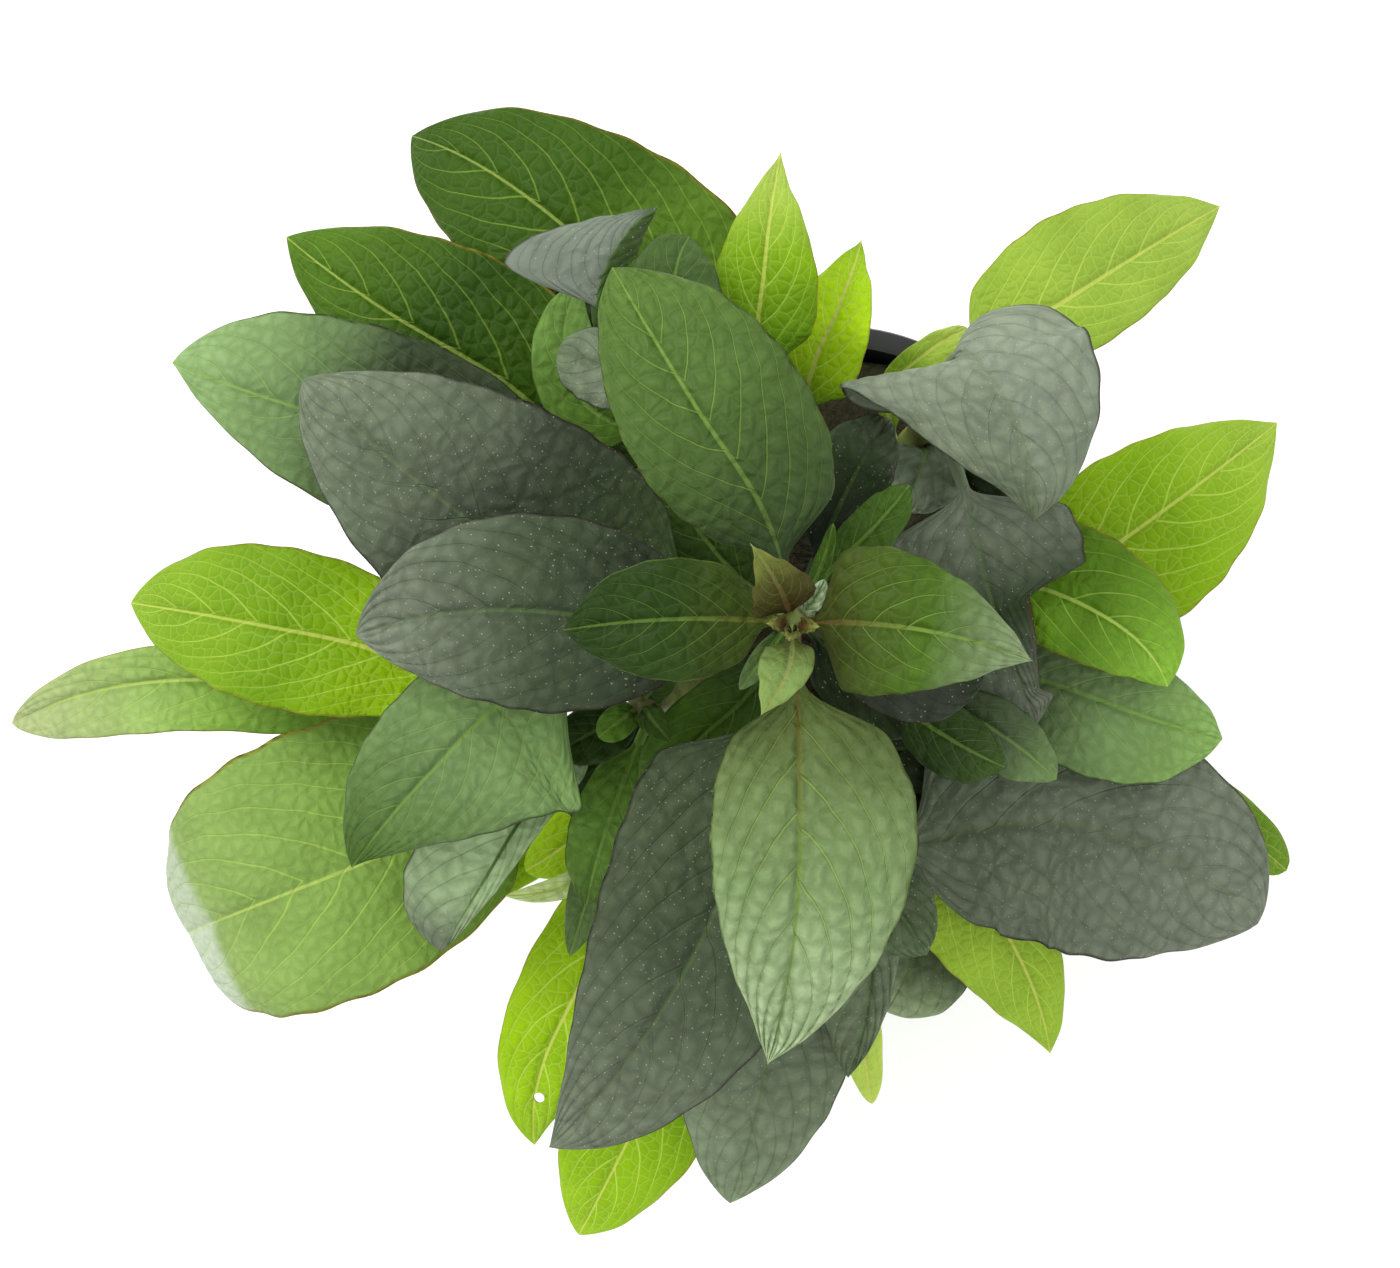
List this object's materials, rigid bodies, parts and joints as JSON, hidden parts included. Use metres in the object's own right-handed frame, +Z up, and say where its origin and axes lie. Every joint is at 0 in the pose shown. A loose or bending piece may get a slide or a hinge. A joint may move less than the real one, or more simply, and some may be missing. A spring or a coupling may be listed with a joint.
{
  "type": "compact temple plant",
  "caption": "Compact bushy temple plant with broad pointed leaves in crossed pairs on several stems, rooted in a wool plug in a small black net pot.",
  "frame": {"origin": "centre of the net pot's underside, on the surface that it stands on", "axes": "+Z up along the pot's axis, +X to the right and +Y to the top of the view from above"},
  "size_m": [0.1457, 0.1252, 0.1231],
  "materials": {
    "leaf_crown": "mid-green leaf of the top pairs, satin, with pale veins and a reddish midrib base",
    "leaf_slate": "slate-green older leaf, satin, wrinkled between the veins, with fine white specks and a grey sheen",
    "leaf_deep": "deep green leaf, satin, with paler veins",
    "leaf_fresh": "fresh green leaf with a fine yellow-green net of veins",
    "leaf_bright": "bright yellow-green young leaf, thin and translucent, with a fine yellow net",
    "leaf_olive": "olive-brown youngest leaf",
    "stem": "green-brown herbaceous stem, satin",
    "net_pot": "black moulded plastic, satin",
    "plug": "brown-grey mineral wool, matt and fibrous"
  },
  "bodies": {
    "root": {"leaf_main_1_back": "leaf_olive", "leaf_main_1_front": "leaf_olive", "leaf_main_2_left": "leaf_crown", "leaf_main_2_right": "leaf_crown", "leaf_main_3_back": "leaf_crown", "leaf_main_3_front": "leaf_crown", "leaf_main_4_left": "leaf_slate", "leaf_main_4_right": "leaf_slate", "leaf_main_5_back": "leaf_slate", "leaf_main_5_front": "leaf_slate", "leaf_main_6_left": "leaf_slate", "leaf_main_6_front": "leaf_deep", "leaf_west_1_small": "leaf_slate", "leaf_west_2_small": "leaf_deep", "leaf_west_3_curled": "leaf_slate", "leaf_west_4_back": "leaf_deep", "leaf_west_5_left": "leaf_deep", "leaf_west_6_left": "leaf_fresh", "leaf_west_7_back": "leaf_fresh", "leaf_north_1": "leaf_bright", "leaf_north_2": "leaf_bright", "leaf_east_1_curled": "leaf_slate", "leaf_east_2_front": "leaf_slate", "leaf_east_3_back": "leaf_bright", "leaf_east_4_inner": "leaf_deep", "leaf_east_5_low": "leaf_bright", "leaf_south_east_1": "leaf_deep", "leaf_south_east_2": "leaf_deep", "leaf_south_east_3": "leaf_fresh", "leaf_south_east_4": "leaf_deep", "leaf_south_east_5": "leaf_bright", "leaf_south_east_6": "leaf_bright", "leaf_south_west_1": "leaf_deep", "leaf_south_west_2": "leaf_deep", "leaf_south_west_3": "leaf_slate", "leaf_south_west_4": "leaf_bright", "leaf_south_west_5": "leaf_fresh", "leaf_south_west_6": "leaf_fresh", "leaf_south_west_7": "leaf_deep", "leaf_south_west_8": "leaf_bright", "leaf_south_west_9": "leaf_bright", "leaf_south_west_10": "leaf_fresh", "leaf_south_west_11": "leaf_bright", "leaf_south_1": "leaf_slate", "leaf_south_2": "leaf_slate", "leaf_south_3": "leaf_slate", "leaf_south_4_round": "leaf_slate", "leaf_south_5_low": "leaf_bright", "leaf_south_6_low": "leaf_bright", "leaf_south_7_low": "leaf_bright", "leaf_south_8_curled": "leaf_slate", "stem_main": "stem", "stem_west": "stem", "stem_north": "stem", "stem_east": "stem", "stem_south_east": "stem", "stem_south_west": "stem", "stem_south": "stem", "wool_plug": "plug", "net_pot": "net_pot"}
  },
  "joints": []
}
